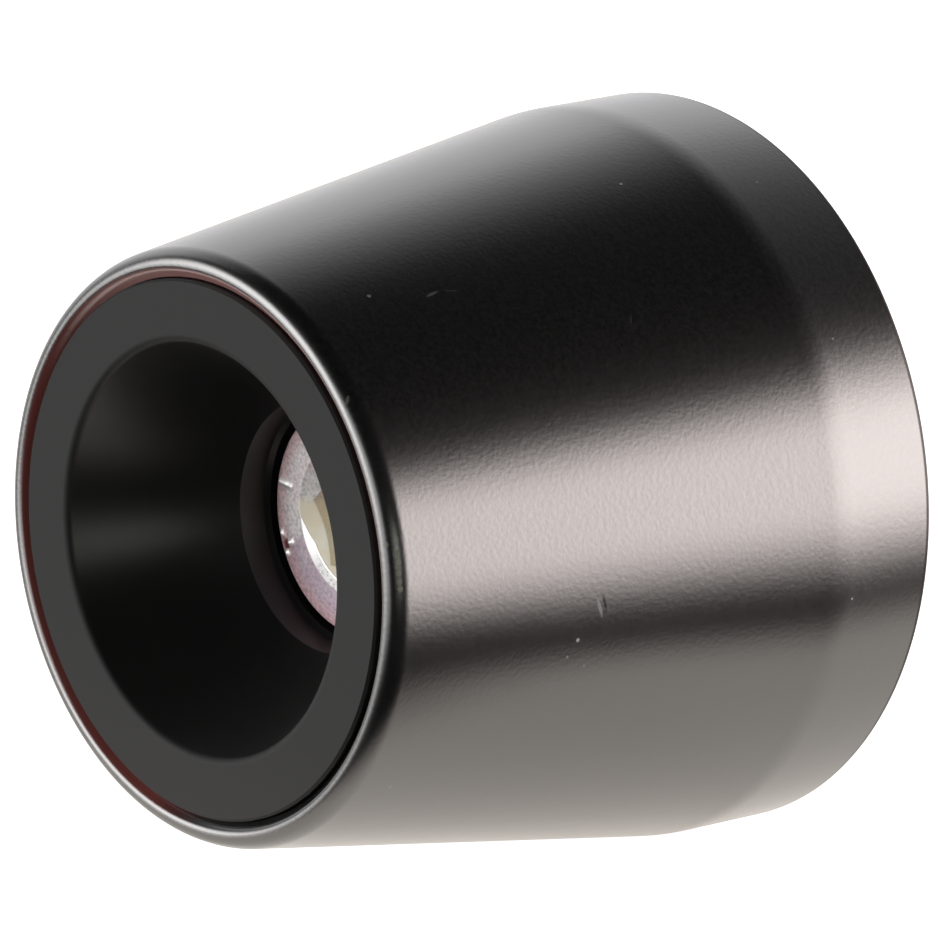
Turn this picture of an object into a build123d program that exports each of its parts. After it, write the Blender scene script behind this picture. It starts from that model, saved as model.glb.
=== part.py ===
from build123d import *
import os
from math import atan2, pi, radians, sqrt, tan

# Bar end weight for a motorbike handlebar: a tapered turned body, a turned cup set into its front,
# and the socket head cap screw that clamps both to the bar. Millimetres and degrees.
# The turning axis is Y. The rear seat, which bears on the bar end, lies at y = 0, and the front faces -Y.
# Turned profiles are drawn in the XY plane, with x as the radius, and revolved about Y.

# Body
body_length = 27.35
rear_radius = 16.0
band_length = 5.0
rear_chamfer = 0.2
lip_wall = 1.13
lip_land = 0.15
lip_chamfer = 0.42

# Spigot that centres the body in the bar
spigot_radius = 8.0
spigot_length = 3.0
spigot_chamfer = 0.4

# Insert cup
insert_radius = 11.6
ring_recess = 0.05
ring_edge = 0.1
ring_width = 2.6
bowl_edge_chamfer = 0.25
bowl_depth = 6.8
neck_length = 1.3
neck_step = 0.2
insert_floor = 2.6
insert_rear_chamfer = 0.5

# Socket head cap screw, M6 x 20
thread_radius = 3.0
screw_length = 20.0
thread_tip_chamfer = 0.7
head_radius = 5.0
head_height = 6.0
head_chamfer = 0.15
key_width = 5.0
key_depth = 3.0
key_point = 0.8
key_mouth_margin = 0.55
key_mouth_angle = 120.0
key_turn = 7.0

# Clearances
insert_clearance = 0.05
head_clearance = 0.3
head_below_step = 0.1
shank_clearance = 0.3

# Radii that follow from the sizes above
pocket_radius = insert_radius + insert_clearance
front_radius = pocket_radius + lip_wall
bowl_radius = insert_radius - ring_width
shank_hole_radius = thread_radius + shank_clearance
counterbore_radius = head_radius + head_clearance
neck_radius = counterbore_radius + neck_step
key_corner = key_width / sqrt(3)
key_mouth_radius = key_corner + key_mouth_margin

# Stations along the axis, from the front to the rear
front = -body_length
ring_face = front + ring_recess
neck_top = ring_face + bowl_depth
neck_bottom = neck_top + neck_length
counterbore_top = neck_bottom + neck_step
head_top = counterbore_top + head_below_step
head_seat = head_top + head_height
pocket_floor = head_seat + insert_floor

# The lip's inner round takes up four fifths of its land, and its outer round the wall outside the land
taper_angle = atan2(rear_radius - front_radius, body_length - band_length)
lip_inner_round = 0.8 * lip_land / tan(pi / 8)
lip_outer_round = (lip_wall - lip_chamfer - lip_land) / tan((pi / 2 - taper_angle) / 2)


def corner(profile, radius, station):
    """The corner of a profile that lies nearest to a radius and a place along the axis."""
    return profile.vertices().sort_by_distance((radius, station, 0))[0]


def turned(profile):
    """The solid that a profile sweeps in one full turn about the axis."""
    return revolve(profile, Axis.Y, 360)


def weight_body():
    """Tapered body with a rounded lip, a straight rear band, a front pocket and a rear spigot."""
    profile = make_face(
        Polyline(
            (shank_hole_radius, spigot_length),
            (spigot_radius, spigot_length),
            (spigot_radius, 0),
            (rear_radius, 0),
            (rear_radius, -band_length),
            (front_radius, front),
            (pocket_radius, front),
            (pocket_radius, pocket_floor),
            (shank_hole_radius, pocket_floor),
            close=True,
        )
    )
    profile = chamfer(corner(profile, spigot_radius, spigot_length), spigot_chamfer)
    profile = chamfer(corner(profile, rear_radius, 0), rear_chamfer)
    profile = chamfer(corner(profile, pocket_radius, front), lip_chamfer)
    profile = fillet(corner(profile, pocket_radius + lip_chamfer, front), lip_inner_round)
    profile = fillet(corner(profile, front_radius, front), lip_outer_round)
    return turned(profile)


def insert_cup():
    """Cup with a flat ring face, a conical bowl, a stepped neck for the screw head and a floor."""
    profile = make_face(
        Polyline(
            (shank_hole_radius, pocket_floor),
            (insert_radius, pocket_floor),
            (insert_radius, ring_face),
            (bowl_radius, ring_face),
            (neck_radius, neck_top),
            (neck_radius, neck_bottom),
            (counterbore_radius, counterbore_top),
            (counterbore_radius, head_seat),
            (shank_hole_radius, head_seat),
            close=True,
        )
    )
    profile = chamfer(corner(profile, insert_radius, pocket_floor), insert_rear_chamfer)
    profile = chamfer(corner(profile, insert_radius, ring_face), ring_edge)
    profile = chamfer(corner(profile, bowl_radius, ring_face), bowl_edge_chamfer)
    return turned(profile)


def key_socket():
    """Space of the hexagon key: a prism with a drilled point below it and a countersunk mouth."""
    key_flat = key_width / 2
    mouth_bottom = head_top + (key_mouth_radius - key_flat) / tan(radians(key_mouth_angle / 2))
    key_bottom = head_top + key_depth
    mouth_plane = Plane(origin=(0, head_top, 0), x_dir=(1, 0, 0), z_dir=(0, 1, 0))
    prism = extrude(mouth_plane * RegularPolygon(key_corner, 6, rotation=key_turn), key_depth)
    mouth = make_face(
        Polyline(
            (0, head_top),
            (key_mouth_radius, head_top),
            (key_flat, mouth_bottom),
            (0, mouth_bottom),
            close=True,
        )
    )
    point = make_face(Polyline((0, key_bottom), (key_flat, key_bottom), (0, key_bottom + key_point), close=True))
    return prism + turned(mouth) + turned(point)


def socket_screw():
    """Cap screw with a chamfered head edge, a hexagon socket and a plain shank for its thread."""
    tip = head_seat + screw_length
    profile = make_face(
        Polyline(
            (0, head_top),
            (head_radius, head_top),
            (head_radius, head_seat),
            (thread_radius, head_seat),
            (thread_radius, tip),
            (0, tip),
            close=True,
        )
    )
    profile = chamfer(corner(profile, head_radius, head_top), head_chamfer)
    profile = chamfer(corner(profile, thread_radius, tip), thread_tip_chamfer)
    return turned(profile) - key_socket()


os.makedirs("parts", exist_ok=True)
export_step(weight_body(), "parts/weight_body.step")
export_step(insert_cup(), "parts/insert_cup.step")
export_step(socket_screw(), "parts/socket_screw.step")
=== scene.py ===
"""Looks of the bar end weight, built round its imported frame.

Every surface is turned about the Y axis: a profile of radius against station goes round in full circles.
Profiles are in millimetres, as on the maker's drawing, and become metres when they are put into a mesh.
"""
import math

import bmesh
import bpy
import numpy as np
from mathutils import Matrix, Vector


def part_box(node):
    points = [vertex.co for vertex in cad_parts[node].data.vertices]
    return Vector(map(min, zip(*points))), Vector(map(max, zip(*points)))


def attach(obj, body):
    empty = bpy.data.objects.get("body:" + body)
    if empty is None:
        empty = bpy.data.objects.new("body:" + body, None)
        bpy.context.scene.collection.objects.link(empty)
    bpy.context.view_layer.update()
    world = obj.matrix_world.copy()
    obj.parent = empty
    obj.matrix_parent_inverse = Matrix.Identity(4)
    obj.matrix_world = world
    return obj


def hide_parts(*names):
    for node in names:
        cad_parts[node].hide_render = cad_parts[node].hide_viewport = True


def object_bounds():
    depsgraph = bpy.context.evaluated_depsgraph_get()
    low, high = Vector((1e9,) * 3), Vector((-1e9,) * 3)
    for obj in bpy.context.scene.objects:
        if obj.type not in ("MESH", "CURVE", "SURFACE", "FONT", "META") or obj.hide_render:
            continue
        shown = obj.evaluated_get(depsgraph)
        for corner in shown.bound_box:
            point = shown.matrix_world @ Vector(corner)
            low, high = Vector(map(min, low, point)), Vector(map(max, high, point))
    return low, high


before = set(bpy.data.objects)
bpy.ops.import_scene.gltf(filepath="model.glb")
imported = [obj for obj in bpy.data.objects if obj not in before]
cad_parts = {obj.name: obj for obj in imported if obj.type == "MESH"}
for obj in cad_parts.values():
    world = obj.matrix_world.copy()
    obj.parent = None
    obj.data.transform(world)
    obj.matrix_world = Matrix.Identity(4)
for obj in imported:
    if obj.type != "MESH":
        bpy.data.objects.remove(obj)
cad_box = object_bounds()

MM = 0.001

# Sizes read from the frame, in millimetres
body_low, body_high = (np.array(corner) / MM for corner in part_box("weight_body"))
cup_low, cup_high = (np.array(corner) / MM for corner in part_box("insert_cup"))
screw_low, screw_high = (np.array(corner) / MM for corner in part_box("socket_screw"))
rear_radius = body_high[0]
front = body_low[1]
spigot_end = body_high[1]
cup_radius = cup_high[0]
ring_face = cup_low[1]
pocket_floor = cup_high[1]
head_radius = screw_high[0]
head_top = screw_low[1]
screw_tip = screw_high[1]

# Body, in millimetres, with the lip's turn in radians
band_length = 5.0
rear_round = 0.25
taper_edge_round = 8.0
pocket_clearance = 0.05
lip_wall = 1.13
lip_land = 0.18
lip_land_share = 0.8
lip_chamfer = 0.39
lip_side_round = 1.3
lip_turn = math.radians(55.0)
spigot_radius = 8.0
spigot_chamfer = 0.4
shank_hole_radius = 3.3

# Insert cup, in millimetres
ring_width = 2.6
ring_edge = 0.1
bowl_edge_round = 0.35
bowl_depth = 6.8
neck_length = 1.3
neck_step = 0.2
counterbore_radius = 5.3
cup_rear_chamfer = 0.5
head_height = 6.0

# Socket screw, in millimetres and degrees
head_round = 0.1
key_width = 5.0
key_depth = 3.0
key_point = 0.8
key_point_share = 0.92
key_mouth_margin = 0.55
key_mouth_angle = 120.0
key_corner_angle = -7.0
thread_radius = 3.0
thread_pitch = 1.0
thread_runout = 1.0
thread_depth_share = 0.6134
thread_crest_share = 0.125
thread_root_share = 0.25
tip_chamfer = 0.7

# Raised ticks on the head's face, in millimetres and degrees: angle, inner and outer radius of each. A worn
# red spot lies beside them: radius, angle, half length and half width.
ticks = ((168.8, 3.97, 4.85), (-163.6, 4.62, 4.85), (-157.5, 4.1, 4.5), (-152.9, 4.58, 4.85))
tick_half_width = 0.21
tick_height = 0.12
tick_skirt = 1.4
tick_inner_ramp = 0.06
tick_outer_ramp = 0.08
tick_inner_rise = 0.4
worn_spot = (4.66, -157.0, 0.34, 0.3)

# Chamfer's brown, in degrees and millimetres: direction of the stretch towards the bottom right that is
# painted black as shade, the distances along it over which the brown fades into that painted shade, and the
# heights over which the brown turns pale as painted light
painted_shadow_angle = -50.0
painted_shadow_fade = (6.5, 9.0)
painted_light_heights = (8.0, 11.0)

# Grid of the turned surfaces: counts, lengths in millimetres, an angle in degrees, and two distances in
# metres for cleaning the mesh
body_columns = 384
cup_columns = 384
screw_columns = 180
thread_rows_per_pitch = 12
round_steps = 5
lip_steps = 20
side_steps = lip_steps // 2
support = 0.05
support_share = 0.3
edge_break = 0.04
face_rings = 40
tick_columns = 17
tick_reach = 1.6
sharp_angle = 40.0
weld_distance = 1e-8
flat_distance = 1e-9

# Radii and stations that follow
pocket_radius = cup_radius + pocket_clearance
front_radius = pocket_radius + lip_wall
taper_angle = math.atan2(rear_radius - front_radius, -front - band_length)
lip_inner_round = lip_land_share * lip_land / math.tan(math.pi / 8)
lip_reach = lip_wall - lip_chamfer - lip_land
lip_slant = math.cos(lip_turn) - math.tan(taper_angle) * math.sin(lip_turn)
lip_side_reach = lip_side_round * math.tan((math.pi / 2 - taper_angle - lip_turn) / 2)
lip_front_reach = (lip_reach - lip_side_reach * lip_slant) / (1 + lip_slant)
lip_front_round = lip_front_reach / math.tan(lip_turn / 2)
lip_edge = front_radius - lip_reach + lip_front_reach
lip_drop = (lip_front_reach + lip_side_reach) * math.sin(lip_turn)
lip_side = front_radius + lip_drop * math.tan(taper_angle)
bowl_radius = cup_radius - ring_width
neck_radius = counterbore_radius + neck_step
neck_top = ring_face + bowl_depth
neck_bottom = neck_top + neck_length
counterbore_top = neck_bottom + neck_step
head_seat = head_top + head_height
key_flat = key_width / 2
key_mouth_radius = key_width / math.sqrt(3) + key_mouth_margin
key_bottom = head_top + key_depth

# Camera, in degrees and millimetres
camera_azimuth = 49.439
camera_elevation = 13.228
camera_distance = 520.0
camera_aim = (-3.145, -9.531, 0.236)
camera_lens = 459.57
camera_sensor = 36.0

# Marks on the body: station, angle, tilt, half length, half width and strength, in millimetres and degrees.
# One light mark on the lip is partly a painted glint. A mark reaches a little way under the surface, and
# fades over a share of its own size.
light_marks = (
    (-23.45, 60.2, 0.0, 0.10, 0.10, 0.4),
    (-8.85, 67.4, 0.0, 0.08, 0.07, 0.9),
    (-2.92, 60.0, 0.0, 0.06, 0.06, 0.3),
    (-3.76, 30.4, 0.0, 0.06, 0.06, 0.3),
    (-18.12, -11.2, 0.0, 0.09, 0.10, 0.7),
    (-18.53, -14.2, 0.0, 0.08, 0.08, 0.25),
    (-17.58, -16.3, 0.0, 0.08, 0.08, 0.2),
    (-4.33, -10.1, 0.0, 0.06, 0.06, 0.5),
    (-25.02, -41.7, 0.0, 0.08, 0.08, 0.4),
    # A light nick on the lip's round that also stands in for a small lamp's glint: partly a painted
    # highlight.
    (-27.15, 40.4, 60.0, 0.22, 0.08, 0.2),
    (-20.80, 56.5, 9.6, 0.38, 0.085, 0.16),
    (-19.90, 56.0, -21.8, 0.40, 0.050, 0.05),
    (-12.86, 41.3, 63.0, 0.26, 0.035, 0.05),
    (-17.18, -5.8, -71.0, 0.50, 0.095, 0.26),
)
dark_marks = ((-16.96, -5.0, -71.0, 0.42, 0.09, 1.0),)
# Greenish spots on the right of the lip's round, lighter than the black
green_spot_marks = (
    (-26.96, 9.8, 90.0, 0.16, 0.11, 0.45),
    (-26.97, 8.1, 90.0, 0.24, 0.14, 1.0),
    (-26.98, 6.1, 90.0, 0.22, 0.12, 0.8),
    (-26.98, 4.4, 90.0, 0.22, 0.12, 0.7),
    (-26.96, 3.0, 90.0, 0.16, 0.13, 0.8),
    (-27.28, 11.6, 90.0, 0.14, 0.10, 0.5),
)
mark_depth = 0.2
mark_fade = (0.5, 1.1)

# Colours, as linear red, green and blue. A pair is mixed from its first colour to its second.
satin_blacks = ((0.0020, 0.0020, 0.0021), (0.0086, 0.0084, 0.0084))
# Brown of the lip's chamfer: the second, paler one stands at the top as painted light
chamfer_browns_with_painted_light = ((0.14, 0.034, 0.029), (0.32, 0.17, 0.16))
pocket_brown = (0.05, 0.015, 0.012)
seat_edge_brown = (0.016, 0.010, 0.009)
spot_green = (0.13, 0.14, 0.085)
dust_and_glint_grey = (0.40, 0.39, 0.38)
matt_blacks = ((0.010, 0.010, 0.010), (0.016, 0.016, 0.016))
zinc_silvers = ((0.97, 0.86, 0.88), (1.0, 0.99, 0.97))
zinc_violet = (0.54, 0.40, 0.52)
zinc_rim_pink = (0.82, 0.52, 0.55)
worn_red = (0.22, 0.045, 0.05)
socket_yellows = ((0.98, 0.96, 0.81), (0.98, 0.90, 0.70))
mouth_silver = (0.97, 0.96, 0.96)
shank_greys = ((0.38, 0.37, 0.38), (0.56, 0.55, 0.57))
tick_white = (0.95, 0.94, 0.93)

# Finish of the body: scales of its noises per metre, roughness and shine over the noise, what the lip's
# brushing, dust and scratches change, depth of the grain in metres with its strength, and refraction
noise_middle = (0.3, 0.7)
drawn_grain = (1400.0, 3600.0, 1400.0)
satin_grain = 4800.0
satin_roughness = (0.216, 0.23)
lip_roughness = 0.04
dust_roughness = 0.4
satin_shine = (0.493, 0.507)
scratch_dullness = 0.7
dull_shine = 0.1
lip_brushing = 0.4
lip_brushing_turn = 0.25
satin_relief = (0.000006, 0.8)
satin_index = 2.05

# Finish of the cup: rings per millimetre, grain per metre, roughness and shine from the ring to the inside,
# depth of the relief in metres with its strength, and refraction
turning_rings = 22.0
matt_grain = 9000.0
matt_roughness = (0.58, 0.27)
matt_grain_roughness = 0.08
matt_shine = (0.24, 0.5)
matt_relief = (0.000005, 0.4)
matt_index = 1.5

# Finish of the screw: scales of its noises per metre, shade and roughness over the speckle, relief as above,
# heights and greatest shares of its tints, and how far each place looks like bare metal
zinc_speckle = 6500.0
zinc_tint = 900.0
zinc_shade = (0.66, 1.0)
zinc_roughness = (0.38, 0.54)
mouth_roughness = -0.16
zinc_relief = (0.00003, 0.6)
violet_heights = (-0.8, -2.4)
violet_share = 0.75
rim_share = 0.8
face_metal = 0.25
socket_metal = 0.2
mouth_metal = 0.9
tick_metal = 0.85
shank_metal = 0.8

# Table: half width and gap under the object in metres, colours, and the millimetres over which it fades to
# clear in front, on the right and along the corner between them
floor_reach = 0.6
floor_gap = 0.00002
floor_warmth = (1.0, 0.93, 0.85)
floor_colour = (0.88, 0.87, 0.855, 1.0)
floor_front = (-40.0, -33.0)
floor_right = (33.0, 23.0)
floor_corner = (34.0, 24.0)
corner_direction = (0.76, -0.65, 0.0)

# White wall and dark room: levels, colour, and the parts of the direction over which the wall fades in
wall_level = 1.33
wall_colour = (0.985, 0.985, 1.0, 1.0)
wall_right = (0.65, -0.85)
wall_front = (-0.5, 0.0)
wall_top = (0.87, 0.52)
room_level = 0.012

# Panels of light, in degrees: each soft width lies outside the half width, the low edge or the high edge
key_panel = {
    "azimuth": 50.0, "half": 18.0, "soft": 24.0,
    "low": -4.7, "low_soft": 22.0, "high": 13.0, "high_soft": 18.5,
    "level": 6.75, "colour": (1.0, 0.905, 0.875, 1.0),
}
front_panel = {
    "azimuth": -130.0, "half": 8.0, "soft": 17.0,
    "low": -2.0, "low_soft": 19.0, "high": 13.0, "high_soft": 18.0,
    "level": 4.65, "colour": (1.0, 0.98, 0.97, 1.0),
}
fill_panel = {
    "azimuth": -112.0, "half": 10.0, "soft": 34.0,
    "low": -8.0, "low_soft": 16.0, "high": 5.0, "high_soft": 26.0,
    "level": 2.5, "colour": (1.0, 0.98, 0.97, 1.0),
}
window_panel = {
    "azimuth": -15.0, "half": 3.0, "soft": 9.0,
    "low": -3.0, "low_soft": 8.0, "high": 6.0, "high_soft": 8.0,
    "level": 1.9, "colour": (0.97, 1.0, 0.88, 1.0),
}


def unit(vectors):
    """Vectors in rows of (radius, station), each divided by its length."""
    return vectors / np.linalg.norm(vectors, axis=0)


def rounded_profile(corners, closed):
    """Profile through corners (radius, station, round), with each corner turned into an arc.

    The arc's ends lie round / tan(half the corner's angle) along the two sides, and its points are the slerp
    between the two end radii about the arc's centre. A point stands just outside each end, so that the long
    straight sides keep their own normals, and closer on a short side. Radius and station may be arrays over
    the angle of turn. A corner may name its own count of steps. Returns each row's radius and station.
    """
    count = len(corners)
    width = max(np.size(value) for corner in corners for value in corner[:2])
    points = [np.array([np.broadcast_to(value, width) for value in corner[:2]], float) for corner in corners]
    onward = [points[(index + 1) % count] - points[index] for index in range(count)]
    half = []
    reach = []
    for index, corner in enumerate(corners):
        opening = -(unit(onward[index - 1]) * unit(onward[index])).sum(axis=0)
        half.append(np.arccos(np.clip(opening, -1, 1)) / 2)
        at_end = not closed and index in (0, count - 1)
        reach.append(np.zeros(width) if at_end else corner[2] / np.tan(half[index]))
    free = []
    for index, side in enumerate(onward):
        free.append(np.linalg.norm(side, axis=0) - reach[index] - reach[(index + 1) % count])
    rows = []
    for index, corner in enumerate(corners):
        here = points[index]
        if not closed and index in (0, count - 1):
            rows.append(here)
            continue
        before = -unit(onward[index - 1])
        after = unit(onward[index])
        centre = here + unit(before + after) * corner[2] / np.sin(half[index])
        sweep = np.pi - 2 * half[index]
        start = here + before * reach[index] - centre
        end = here + after * reach[index] - centre
        rows.append(here + before * (reach[index] + np.minimum(support, support_share * free[index - 1])))
        steps = corner[3] if len(corner) > 3 else round_steps
        for share in np.linspace(0, 1, steps + 1):
            blend = np.sin((1 - share) * sweep) * start + np.sin(share * sweep) * end
            rows.append(centre + blend / np.sin(sweep))
        rows.append(here + after * (reach[index] + np.minimum(support, support_share * free[index])))
    stack = np.array(rows)
    return stack[:, 0, :], stack[:, 1, :]


def turned_piece(name, radius, station, angles, closed, material, node):
    """Mesh of a turned surface: x = radius cos(angle), y = station, z = radius sin(angle).

    Rows run along the profile and columns round the axis. The columns close on themselves, the rows too
    where the profile is closed, and a row of radius nought closes to a pole.
    """
    rows, columns = len(radius), len(angles)
    radius = np.broadcast_to(radius, (rows, columns))
    station = np.broadcast_to(station, (rows, columns))
    points = np.stack([radius * np.cos(angles), station, radius * np.sin(angles)], axis=-1) * MM
    row = np.arange(rows if closed else rows - 1)[:, None]
    column = np.arange(columns)[None, :]
    next_row = (row + 1) % rows
    next_column = (column + 1) % columns
    quads = np.stack(
        [
            row * columns + column,
            row * columns + next_column,
            next_row * columns + next_column,
            next_row * columns + column,
        ],
        axis=-1,
    )
    mesh = bpy.data.meshes.new(name)
    mesh.from_pydata(points.reshape(-1, 3).tolist(), [], quads.reshape(-1, 4).tolist())
    work = bmesh.new()
    work.from_mesh(mesh)
    bmesh.ops.remove_doubles(work, verts=work.verts, dist=weld_distance)
    bmesh.ops.dissolve_degenerate(work, edges=work.edges, dist=flat_distance)
    bmesh.ops.recalc_face_normals(work, faces=work.faces)
    work.to_mesh(mesh)
    work.free()
    mesh.shade_smooth()
    mesh.materials.append(material)
    piece = bpy.data.objects.new(name, mesh)
    bpy.context.scene.collection.objects.link(piece)
    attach(piece, "root")
    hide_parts(node)
    return piece


def even_angles(columns):
    """Angles of evenly spaced columns round the axis."""
    return np.linspace(0, 2 * np.pi, columns, endpoint=False)


def body_piece(material):
    """Body: spigot, seat, straight band, taper, rounded lip, chamfer and pocket, as one closed profile."""
    radius, station = rounded_profile(
        [
            (shank_hole_radius, spigot_end, edge_break),
            (spigot_radius - spigot_chamfer, spigot_end, edge_break),
            (spigot_radius, spigot_end - spigot_chamfer, edge_break),
            (spigot_radius, 0, edge_break),
            (rear_radius, 0, rear_round),
            (rear_radius, -band_length, taper_edge_round, side_steps),
            (lip_side, front + lip_drop, lip_side_round, side_steps),
            (lip_edge, front, lip_front_round, lip_steps),
            (pocket_radius + lip_chamfer, front, lip_inner_round, side_steps),
            (pocket_radius, front + lip_chamfer, edge_break / 2),
            (pocket_radius, pocket_floor, edge_break),
            (shank_hole_radius, pocket_floor, edge_break),
        ],
        closed=True,
    )
    angles = even_angles(body_columns)
    return turned_piece(
        "turned_body", radius, station, angles, True,
        material, "weight_body",
    )


def cup_piece(material):
    """Cup: ring face, conical bowl, stepped neck, counterbore, floor and hole, as one closed profile."""
    radius, station = rounded_profile(
        [
            (shank_hole_radius, pocket_floor, edge_break),
            (cup_radius - cup_rear_chamfer, pocket_floor, edge_break),
            (cup_radius, pocket_floor - cup_rear_chamfer, edge_break),
            (cup_radius, ring_face + ring_edge, edge_break / 2),
            (cup_radius - ring_edge, ring_face, edge_break / 2),
            (bowl_radius, ring_face, bowl_edge_round),
            (neck_radius, neck_top, edge_break),
            (neck_radius, neck_bottom, edge_break),
            (counterbore_radius, counterbore_top, edge_break),
            (counterbore_radius, head_seat, edge_break),
            (shank_hole_radius, head_seat, edge_break),
        ],
        closed=True,
    )
    angles = even_angles(cup_columns)
    return turned_piece(
        "turned_cup", radius, station, angles, True,
        material, "insert_cup",
    )


def soft_step(value, start, end):
    """Smooth ramp from 0 at start to 1 at end: 3 t squared less 2 t cubed, with t the clamped share."""
    share = np.clip((value - start) / (end - start), 0, 1)
    return share * share * (3 - 2 * share)


def screw_angles():
    """Columns of the screw: even ones that hold the hexagon's corners, and close ones across each tick."""
    even = even_angles(screw_columns) + math.radians(key_corner_angle)
    across = np.linspace(-tick_reach, tick_reach, tick_columns) * tick_half_width
    close = [math.radians(angle) + across / inner for angle, inner, outer in ticks]
    return np.unique(np.mod(np.concatenate([even, *close]), 2 * np.pi).round(6))


def key_hexagon(angles):
    """Radius of the socket's wall: half its width over the cosine of the angle from a flat's middle."""
    sixth = math.pi / 3
    from_corner = np.mod(angles - math.radians(key_corner_angle), sixth)
    return key_flat / np.cos(from_corner - sixth / 2)


def socket_rows(angles):
    """Socket from its drilled point up the hexagon walls to the countersunk mouth and the head's face."""
    hexagon = key_hexagon(angles)
    mouth_depth = (key_mouth_radius - hexagon) / math.tan(math.radians(key_mouth_angle / 2))
    return rounded_profile(
        [
            (0, key_bottom + key_point, 0),
            (key_flat * key_point_share, key_bottom, edge_break),
            (hexagon, key_bottom, edge_break),
            (hexagon, head_top + mouth_depth, edge_break),
            (key_mouth_radius, head_top, edge_break),
            (key_mouth_radius + 2 * support, head_top, 0),
        ],
        closed=False,
    )


def head_face_rows(angles):
    """Head's face: flat rings, with a raised round bar at each tick.

    The bar's height is a product of ramps along and across it, and rises towards the rim.
    """
    flat_start = key_mouth_radius + 3 * support
    flat_end = head_radius - head_round - support
    radius = np.linspace(flat_start, flat_end, face_rings)[:, None]
    height = np.zeros((len(radius), len(angles)))
    for angle, inner, outer in ticks:
        along = soft_step(radius, inner - tick_inner_ramp, inner + tick_inner_ramp)
        along = along * (1 - soft_step(radius, outer - tick_outer_ramp, outer))
        offset = np.mod(angles - math.radians(angle) + np.pi, 2 * np.pi) - np.pi
        across = 1 - soft_step(np.abs(offset) * radius, 0, tick_half_width * tick_skirt)
        share = np.clip((radius - inner) / (outer - inner), 0, 1)
        rise = tick_inner_rise + (1 - tick_inner_rise) * share
        height = np.maximum(height, along * across * rise * tick_height)
    return np.broadcast_to(radius, height.shape), head_top - height


def head_side_rows():
    """Head's rounded rim, its side and its seat, ending at the shank."""
    return rounded_profile(
        [
            (head_radius - head_round - support / 2, head_top, 0),
            (head_radius, head_top, head_round),
            (head_radius, head_seat, edge_break),
            (thread_radius + support, head_seat, 0),
        ],
        closed=False,
    )


def thread_rows(angles):
    """Right-hand metric thread: the phase is station / pitch + angle / turn, and the depth is a ramp of it.

    The crest and the root are shares of the pitch wide. The depth runs out below the head, and the tip's
    chamfer caps the radius.
    """
    rows = int((screw_tip - head_seat) / thread_pitch * thread_rows_per_pitch)
    station = np.linspace(head_seat, screw_tip, rows)[:, None]
    phase = np.mod(station / thread_pitch + angles / (2 * np.pi), 1)
    flank = 1 - thread_root_share - thread_crest_share
    depth_share = np.clip((np.abs(2 * phase - 1) - thread_crest_share) / flank, 0, 1)
    runout = soft_step(station, head_seat, head_seat + thread_runout)
    radius = thread_radius - thread_depth_share * thread_pitch * depth_share * runout
    cap = thread_radius - np.clip(station - (screw_tip - tip_chamfer), 0, None)
    return np.minimum(radius, cap), np.broadcast_to(station, radius.shape)


def screw_piece(material):
    """Screw: socket, marked face, rim, side and threaded shank as one surface with a pole at each end."""
    angles = screw_angles()
    columns = len(angles)
    blocks = [socket_rows(angles), head_face_rows(angles), head_side_rows(), thread_rows(angles)]
    radius = np.concatenate([np.broadcast_to(block[0], (len(block[0]), columns)) for block in blocks])
    station = np.concatenate([np.broadcast_to(block[1], (len(block[1]), columns)) for block in blocks])
    radius = np.concatenate([radius, np.zeros((1, columns))])
    station = np.concatenate([station, np.full((1, columns), screw_tip)])
    piece = turned_piece(
        "cap_screw", radius, station, angles, False,
        material, "socket_screw",
    )
    piece.data.set_sharp_from_angle(angle=math.radians(sharp_angle))
    return piece


def new_material(name):
    """Empty node material with its shader: returns the material, its nodes' tree and the shader."""
    material = bpy.data.materials.new(name)
    material.use_nodes = True
    tree = material.node_tree
    return material, tree, tree.nodes["Principled BSDF"]


def add_node(tree, kind, inputs=None, **settings):
    """Node with its settings and its inputs: an input is a value, or a socket that is linked to it."""
    node = tree.nodes.new(kind)
    for key, value in settings.items():
        setattr(node, key, value)
    for key, value in (inputs or {}).items():
        if isinstance(value, bpy.types.NodeSocket):
            tree.links.new(value, node.inputs[key])
        else:
            node.inputs[key].default_value = value
    return node


def noise(tree, coordinates, scale, detail):
    """Noise of a given scale and detail: its socket of values about a half."""
    inputs = {"Vector": coordinates, "Scale": scale, "Detail": detail}
    return add_node(tree, "ShaderNodeTexNoise", inputs).outputs["Fac"]


def ramp(tree, value, from_low, from_high, to_low, to_high):
    """Clamped straight ramp of a value."""
    inputs = {0: value, 1: from_low, 2: from_high, 3: to_low, 4: to_high}
    return add_node(tree, "ShaderNodeMapRange", inputs).outputs["Result"]


def smooth(tree, value, start, end):
    """Smooth ramp from 0 at start to 1 at end."""
    inputs = {0: value, 1: start, 2: end, 3: 0.0, 4: 1.0}
    return add_node(tree, "ShaderNodeMapRange", inputs, interpolation_type="SMOOTHSTEP").outputs["Result"]


def math_node(tree, operation, *values):
    """Sum, product or other operation on up to three values."""
    return add_node(tree, "ShaderNodeMath", dict(enumerate(values)), operation=operation).outputs["Value"]


def product(tree, first, second):
    """Product of two values."""
    return math_node(tree, "MULTIPLY", first, second)


def greater(tree, first, second):
    """Greater of two values."""
    return math_node(tree, "MAXIMUM", first, second)


def mix_colour(tree, share, first, second):
    """Colour between two colours, each a socket or red, green and blue."""
    inputs = {0: share, 6: first, 7: second}
    for key in (6, 7):
        if not isinstance(inputs[key], bpy.types.NodeSocket):
            inputs[key] = (*inputs[key], 1.0)
    return add_node(tree, "ShaderNodeMix", inputs, data_type="RGBA").outputs[2]


def object_coordinates(tree):
    """Object coordinates: the point's place in the shared frame, in metres."""
    return add_node(tree, "ShaderNodeTexCoord").outputs["Object"]


def scaled(tree, vector, x, y, z):
    """Vector with each part multiplied by its own factor."""
    return add_node(tree, "ShaderNodeVectorMath", {0: vector, 1: (x, y, z)}, operation="MULTIPLY").outputs[0]


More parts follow.
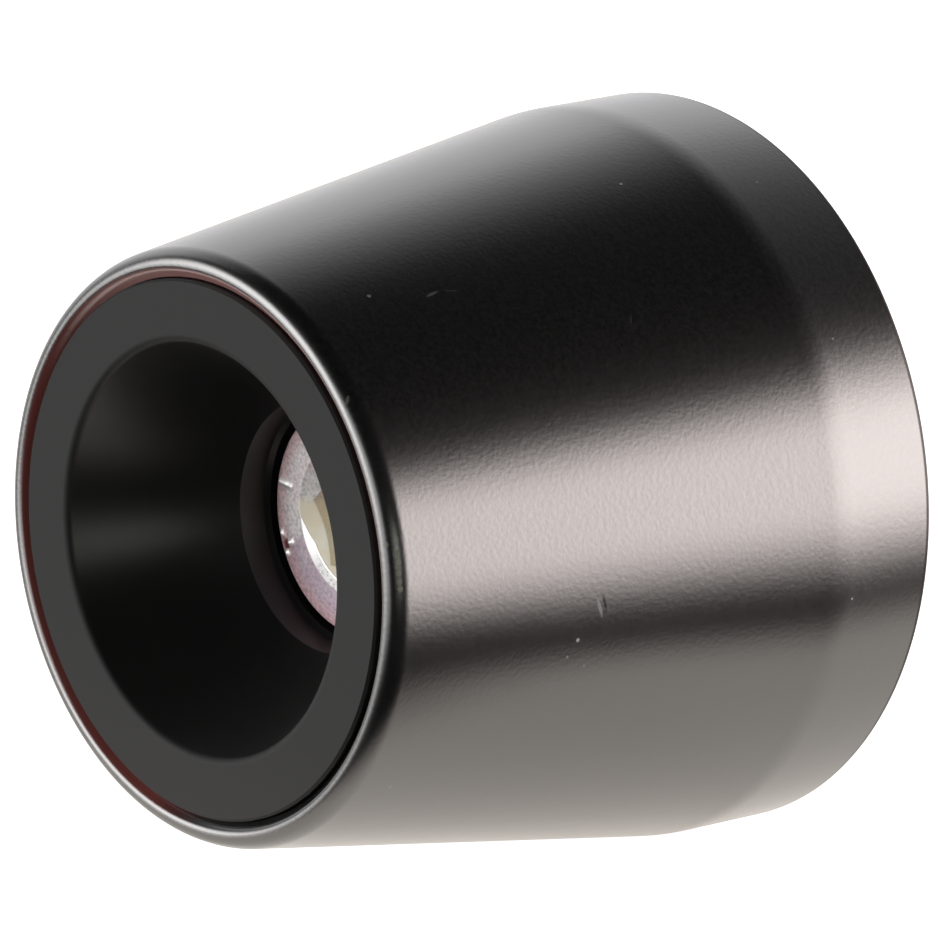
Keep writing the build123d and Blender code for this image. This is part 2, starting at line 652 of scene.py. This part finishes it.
def distance_along(tree, vector, direction):
    """Length of a vector along a direction."""
    inputs = {0: vector, 1: direction}
    return add_node(tree, "ShaderNodeVectorMath", inputs, operation="DOT_PRODUCT").outputs["Value"]


def drawing_place(tree, coordinates):
    """Distance from the turning axis, place along it and height above it, in millimetres."""
    drawing = scaled(tree, coordinates, 1 / MM, 1 / MM, 1 / MM)
    parts = add_node(tree, "ShaderNodeSeparateXYZ", {0: drawing})
    flat = scaled(tree, drawing, 1.0, 0.0, 1.0)
    radius = add_node(tree, "ShaderNodeVectorMath", {0: flat}, operation="LENGTH").outputs["Value"]
    return radius, parts.outputs[1], parts.outputs[2]


def between(tree, value, low, high, soft):
    """1 where a value lies between two limits, with a ramp of width soft across each limit."""
    above = ramp(tree, value, low - soft / 2, low + soft / 2, 0.0, 1.0)
    below = ramp(tree, value, high - soft / 2, high + soft / 2, 1.0, 0.0)
    return product(tree, above, below)


def turning_direction(tree, coordinates):
    """Direction round the axis, along which the turning tool cut: the coordinates crossed with the axis."""
    inputs = {0: coordinates, 1: (0.0, 1.0, 0.0)}
    around = add_node(tree, "ShaderNodeVectorMath", inputs, operation="CROSS_PRODUCT").outputs[0]
    return add_node(tree, "ShaderNodeVectorMath", {0: around}, operation="NORMALIZE").outputs[0]


def bump(tree, height, distance, strength):
    """Normal tilted by a height, with its depth in metres."""
    inputs = {"Height": height, "Distance": distance, "Strength": strength}
    return add_node(tree, "ShaderNodeBump", inputs).outputs["Normal"]


def mark(tree, place, radius, station, angle, tilt, length, width):
    """Soft spot on a turned surface, 1 inside and 0 outside.

    It is an ellipsoid about a point at a radius, a station and an angle of turn. Its length lies along the
    axis, or is turned from it by a tilt about the radius. Sizes are half lengths in millimetres.
    """
    turn = math.radians(angle)
    centre = Vector((radius * math.cos(turn), station, radius * math.sin(turn))) * MM
    inputs = {
        "Vector": place,
        "Location": centre,
        "Rotation": (math.radians(tilt), -turn, 0.0),
        "Scale": (mark_depth * MM, length * MM, width * MM),
    }
    local = add_node(tree, "ShaderNodeMapping", inputs, vector_type="TEXTURE").outputs[0]
    away = add_node(tree, "ShaderNodeVectorMath", {0: local}, operation="LENGTH").outputs["Value"]
    return ramp(tree, away, *mark_fade, 1.0, 0.0)


def outer_radius(station):
    """Radius of the body's outside at a station: the lip's front round, the taper's line or the band."""
    depth = station - front
    if depth < lip_front_round * (1 - math.cos(lip_turn)):
        return lip_edge - lip_front_reach + math.sqrt(lip_front_round**2 - (lip_front_round - depth) ** 2)
    share = (station - front) / (-band_length - front)
    return min(rear_radius, front_radius + (rear_radius - front_radius) * share)


def marks(tree, place, places):
    """Greatest of several spots on the body's outside, each times its own strength."""
    total = 0.0
    for station, angle, tilt, length, width, strength in places:
        spot = mark(tree, place, outer_radius(station), station, angle, tilt, length, width)
        total = greater(tree, product(tree, spot, strength), total)
    return total


def satin_black_anodise():
    """Body: satin black anodise with a fine drawn grain. The lip's chamfer and the pocket's wall are a warm
    brown, the chamfer's paler towards the top as painted light; both give way to black towards the bottom
    right as painted shade.
    Dust, scratches and some greenish spots lie on the outside; one light spot on the lip is partly a painted
    glint."""
    material, tree, shader = new_material("satin_black_anodise")
    place = object_coordinates(tree)
    radius, station, height = drawing_place(tree, place)
    # Along a stretch towards the bottom right, the chamfer's and the wall's brown gives way to black:
    # painted shade.
    turn = math.radians(painted_shadow_angle)
    toward_painted_shadow = distance_along(tree, place, (math.cos(turn) / MM, 0.0, math.sin(turn) / MM))
    tint_share = ramp(tree, toward_painted_shadow, *painted_shadow_fade, 1.0, 0.0)
    inner = pocket_radius + lip_chamfer
    at_lip = between(tree, station, front - 1.0, front + lip_chamfer, 0.03)
    chamfer = product(tree, at_lip, ramp(tree, radius, inner - 0.08, inner + 0.1, 1.0, 0.0))
    at_wall = between(tree, station, front + lip_chamfer, front + 3.0, 0.03)
    wall = product(tree, at_wall, ramp(tree, radius, pocket_radius + 0.01, pocket_radius + 0.03, 1.0, 0.0))
    rear = ramp(tree, radius, rear_radius - 0.45, rear_radius - 0.3, 0.0, 1.0)
    rear = product(tree, rear, ramp(tree, station, -rear_round - 0.08, -rear_round, 0.0, 1.0))
    lip = ramp(tree, station, front + 0.5, front + 0.2, 0.0, 1.0)
    lip = product(tree, lip, ramp(tree, radius, inner - 0.12, inner, 0.0, 1.0))

    drawn = noise(tree, scaled(tree, place, *drawn_grain), 1.0, 2.0)
    mottle = noise(tree, place, satin_grain, 2.5)
    dust_and_glint = marks(tree, place, light_marks)
    dark = marks(tree, place, dark_marks)
    green_spot = marks(tree, place, green_spot_marks)

    share = ramp(tree, mottle, *noise_middle, 0.0, 1.0)
    colour = mix_colour(tree, share, *satin_blacks)
    # The chamfer's brown turns paler towards the top: painted light.
    painted_light = ramp(tree, height, *painted_light_heights, 0.0, 1.0)
    brown = mix_colour(tree, painted_light, *chamfer_browns_with_painted_light)
    colour = mix_colour(tree, product(tree, wall, tint_share), colour, pocket_brown)
    colour = mix_colour(tree, product(tree, chamfer, tint_share), colour, brown)
    colour = mix_colour(tree, rear, colour, seat_edge_brown)
    colour = mix_colour(tree, green_spot, colour, spot_green)
    colour = mix_colour(tree, dust_and_glint, colour, dust_and_glint_grey)
    tree.links.new(colour, shader.inputs["Base Color"])

    rough = ramp(tree, drawn, *noise_middle, *satin_roughness)
    rough = math_node(tree, "MULTIPLY_ADD", lip, lip_roughness, rough)
    rough = math_node(tree, "MULTIPLY_ADD", greater(tree, green_spot, dust_and_glint), dust_roughness, rough)
    tree.links.new(rough, shader.inputs["Roughness"])
    tree.links.new(bump(tree, mottle, *satin_relief), shader.inputs["Normal"])
    dull = greater(tree, product(tree, dark, scratch_dullness), rear)
    shine = ramp(tree, mottle, *noise_middle, *satin_shine)
    shine = product(tree, shine, ramp(tree, dull, 0.0, 1.0, 1.0, dull_shine))
    tree.links.new(shine, shader.inputs["Specular IOR Level"])
    tree.links.new(product(tree, lip, lip_brushing), shader.inputs["Anisotropic"])
    tree.links.new(turning_direction(tree, place), shader.inputs["Tangent"])
    shader.inputs["Anisotropic Rotation"].default_value = lip_brushing_turn
    shader.inputs["IOR"].default_value = satin_index
    return material


def matt_black_anodise():
    """Cup: black anodise with fine rings from the turning tool, matt on the ring and smoother inside."""
    material, tree, shader = new_material("matt_black_anodise")
    place = object_coordinates(tree)
    radius, station = drawing_place(tree, place)[:2]
    inside = ramp(tree, station, ring_face + 0.02, ring_face + 0.3, 0.0, 1.0)
    ring_place = add_node(tree, "ShaderNodeCombineXYZ", {0: radius, 1: station})
    rings = noise(tree, ring_place.outputs[0], turning_rings, 2.0)
    grain = noise(tree, place, matt_grain, 3.0)
    dark = mix_colour(tree, grain, *matt_blacks)
    tree.links.new(dark, shader.inputs["Base Color"])
    rough = ramp(tree, inside, 0.0, 1.0, *matt_roughness)
    rough = math_node(tree, "MULTIPLY_ADD", grain, matt_grain_roughness, rough)
    tree.links.new(rough, shader.inputs["Roughness"])
    relief = math_node(tree, "ADD", rings, grain)
    tree.links.new(bump(tree, relief, *matt_relief), shader.inputs["Normal"])
    tree.links.new(ramp(tree, inside, 0.0, 1.0, *matt_shine), shader.inputs["Specular IOR Level"])
    shader.inputs["IOR"].default_value = matt_index
    return material


def zinc_plate():
    """Screw: speckled zinc plate, silver with pink at the rim and violet below, with a yellow lower socket,
    a bright mouth, bright ticks and a plain grey shank."""
    material, tree, shader = new_material("zinc_plate")
    place = object_coordinates(tree)
    radius, station, height = drawing_place(tree, place)
    speckle = noise(tree, place, zinc_speckle, 3.0)
    tint = noise(tree, place, zinc_tint, 2.0)

    at_key = ramp(tree, station, key_bottom + 1.0, key_bottom + 1.2, 1.0, 0.0)
    socket_edge = ramp(tree, height, -1.5, 0.1, key_mouth_radius - 0.39, key_mouth_radius + 0.12)
    past_edge = math_node(tree, "SUBTRACT", radius, socket_edge)
    in_socket = product(tree, at_key, ramp(tree, past_edge, -0.04, 0.04, 1.0, 0.0))
    in_socket = product(tree, in_socket, ramp(tree, height, 0.1, 0.6, 1.0, 0.0))
    mouth = product(tree, at_key, ramp(tree, past_edge, 0.0, 0.04, 0.0, 1.0))
    mouth = product(tree, mouth, ramp(tree, radius, key_mouth_radius - 0.03, key_mouth_radius, 1.0, 0.0))
    tick = between(tree, station, head_top - 1.0, head_top - tick_height * 0.25, 0.02)
    spot_radius, spot_angle, spot_length, spot_width = worn_spot
    tint_share = mark(tree, place, spot_radius, head_top, spot_angle, 90.0, spot_length, spot_width)
    shank = ramp(tree, station, head_seat - 0.3, head_seat, 0.0, 1.0)

    pink = ramp(tree, tint, 0.35, 0.65, 0.0, 1.0)
    face = mix_colour(tree, pink, *zinc_silvers)
    below = math_node(tree, "ADD", height, ramp(tree, tint, 0.2, 0.8, -1.0, 1.0))
    face = mix_colour(tree, ramp(tree, below, *violet_heights, 0.0, violet_share), face, zinc_violet)
    rim = ramp(tree, radius, head_radius - 0.9, head_radius - 0.2, 0.0, rim_share)
    face = mix_colour(tree, rim, face, zinc_rim_pink)
    face = mix_colour(tree, tint_share, face, worn_red)
    shade = ramp(tree, speckle, 0.32, 0.6, *zinc_shade)
    face = add_node(tree, "ShaderNodeVectorMath", {0: face, 1: shade}, operation="MULTIPLY").outputs[0]
    golden = ramp(tree, tint, 0.4, 0.62, 0.0, 1.0)
    yellow = mix_colour(tree, golden, *socket_yellows)
    colour = mix_colour(tree, in_socket, face, yellow)
    colour = mix_colour(tree, mouth, colour, mouth_silver)
    plain = mix_colour(tree, speckle, *shank_greys)
    colour = mix_colour(tree, shank, colour, plain)
    colour = mix_colour(tree, tick, colour, tick_white)
    tree.links.new(colour, shader.inputs["Base Color"])

    bare = ramp(tree, in_socket, 0.0, 1.0, face_metal, socket_metal)
    for mask, metal in ((mouth, mouth_metal), (tick, tick_metal), (shank, shank_metal)):
        bare = greater(tree, bare, product(tree, mask, metal))
    tree.links.new(bare, shader.inputs["Metallic"])
    rough = ramp(tree, speckle, *noise_middle, *zinc_roughness)
    rough = math_node(tree, "MULTIPLY_ADD", mouth, mouth_roughness, rough)
    tree.links.new(rough, shader.inputs["Roughness"])
    relief = product(tree, speckle, ramp(tree, mouth, 0.0, 1.0, 1.0, 0.0))
    tree.links.new(bump(tree, relief, *zinc_relief), shader.inputs["Normal"])
    return material


def white_table():
    """Table: white to the camera and in reflections. It fades to clear just in front and to the right of the
    object, so that the low lamps reach it."""
    material, tree, shader = new_material("white_table")
    shader.inputs["Base Color"].default_value = floor_colour
    shader.inputs["Roughness"].default_value = 0.9
    shader.inputs["Specular IOR Level"].default_value = 0.0
    path = add_node(tree, "ShaderNodeLightPath")
    seen = greater(tree, path.outputs["Is Camera Ray"], path.outputs["Is Glossy Ray"])
    seen = greater(tree, seen, path.outputs["Is Transmission Ray"])
    tint = mix_colour(tree, path.outputs["Is Camera Ray"], floor_warmth, (1.0, 1.0, 1.0))
    tree.links.new(tint, shader.inputs["Emission Color"])
    tree.links.new(seen, shader.inputs["Emission Strength"])
    place = scaled(tree, object_coordinates(tree), 1 / MM, 1 / MM, 1 / MM)
    parts = add_node(tree, "ShaderNodeSeparateXYZ", {0: place})
    here = smooth(tree, distance_along(tree, place, corner_direction), *floor_corner)
    here = product(tree, here, smooth(tree, parts.outputs[1], *floor_front))
    here = product(tree, here, smooth(tree, parts.outputs[0], *floor_right))
    clear = add_node(tree, "ShaderNodeBsdfTransparent").outputs[0]
    surface = add_node(tree, "ShaderNodeMixShader", {0: here, 1: clear, 2: shader.outputs[0]}).outputs[0]
    tree.links.new(surface, tree.nodes["Material Output"].inputs["Surface"])
    return material


def studio_floor(material):
    """Table: one square just under the object's lowest point."""
    height = cad_box[0].z - floor_gap
    low, high = -floor_reach, floor_reach
    mesh = bpy.data.meshes.new("table")
    corners = [(low, low, height), (high, low, height), (high, high, height), (low, high, height)]
    mesh.from_pydata(corners, [], [(0, 1, 2, 3)])
    mesh.materials.append(material)
    table = bpy.data.objects.new("table", mesh)
    bpy.context.scene.collection.objects.link(table)


def background_light(tree, share, level, colour):
    """Background shader of a colour, at a level times a share."""
    strength = product(tree, share, level)
    return add_node(tree, "ShaderNodeBackground", {"Color": colour, "Strength": strength}).outputs[0]


def soft_panel(tree, across, up, azimuth, half, soft, low, low_soft, high, high_soft, level, colour):
    """Background shader of a soft-edged panel of light, with its angles in degrees.

    Its level is multiplied by three ramps: of the cosine of the angle from the panel's azimuth, which falls
    off over soft degrees outside half, and of the direction's height at the panel's low and high edges.
    """
    turn = math.radians(azimuth)
    facing = distance_along(tree, across, (math.cos(turn), math.sin(turn), 0.0))
    share = smooth(tree, facing, math.cos(math.radians(half + soft)), math.cos(math.radians(half)))
    for outside, edge in ((low - low_soft, low), (high + high_soft, high)):
        step = smooth(tree, up, math.sin(math.radians(outside)), math.sin(math.radians(edge)))
        share = product(tree, share, step)
    return background_light(tree, share, level, colour)


def studio_world():
    """Room of soft-edged panels: a white wall behind and to the left, a key light low on the right, a box in
    front on the left with a broad fill, and a small window. It is dark overhead, and white to the camera."""
    world = bpy.data.worlds.new("studio")
    bpy.context.scene.world = world
    world.use_nodes = True
    tree = world.node_tree
    direction = add_node(tree, "ShaderNodeTexCoord").outputs["Generated"]
    up = add_node(tree, "ShaderNodeSeparateXYZ", {0: direction}).outputs[2]
    flat = scaled(tree, direction, 1.0, 1.0, 0.0)
    across = add_node(tree, "ShaderNodeVectorMath", {0: flat}, operation="NORMALIZE").outputs[0]
    sides = add_node(tree, "ShaderNodeSeparateXYZ", {0: across})
    wall = product(tree, smooth(tree, sides.outputs[0], *wall_right), ramp(tree, up, *wall_top, 0.0, 1.0))
    wall = product(tree, wall, smooth(tree, sides.outputs[1], *wall_front))
    wall = math_node(tree, "ADD", wall, room_level / wall_level)
    room = background_light(tree, wall, wall_level, wall_colour)
    for panel in (key_panel, front_panel, fill_panel, window_panel):
        shader = soft_panel(tree, across, up, **panel)
        room = add_node(tree, "ShaderNodeAddShader", {0: room, 1: shader}).outputs[0]
    white = add_node(tree, "ShaderNodeBackground", {"Color": (1.0, 1.0, 1.0, 1.0), "Strength": 1.0})
    path = add_node(tree, "ShaderNodeLightPath")
    inputs = {0: path.outputs["Is Camera Ray"], 1: room, 2: white.outputs[0]}
    choice = add_node(tree, "ShaderNodeMixShader", inputs)
    tree.links.new(choice.outputs[0], tree.nodes["World Output"].inputs["Surface"])


def photo_camera():
    """Camera at the photograph's angle: it stands back from its aim along azimuth and elevation."""
    azimuth = math.radians(camera_azimuth)
    elevation = math.radians(camera_elevation)
    back = Vector(
        (
            math.sin(azimuth) * math.cos(elevation),
            -math.cos(azimuth) * math.cos(elevation),
            math.sin(elevation),
        )
    )
    lens = bpy.data.cameras.new("camera")
    lens.lens = camera_lens
    lens.sensor_width = camera_sensor
    camera = bpy.data.objects.new("camera", lens)
    turn = (-back).to_track_quat("-Z", "Y").to_matrix().to_4x4()
    camera.matrix_world = Matrix.Translation((Vector(camera_aim) + back * camera_distance) * MM) @ turn
    bpy.context.scene.collection.objects.link(camera)
    bpy.context.scene.camera = camera


body_piece(satin_black_anodise())
cup_piece(matt_black_anodise())
screw_piece(zinc_plate())
studio_floor(white_table())
studio_world()
photo_camera()
bpy.context.scene.view_settings.view_transform = "Standard"
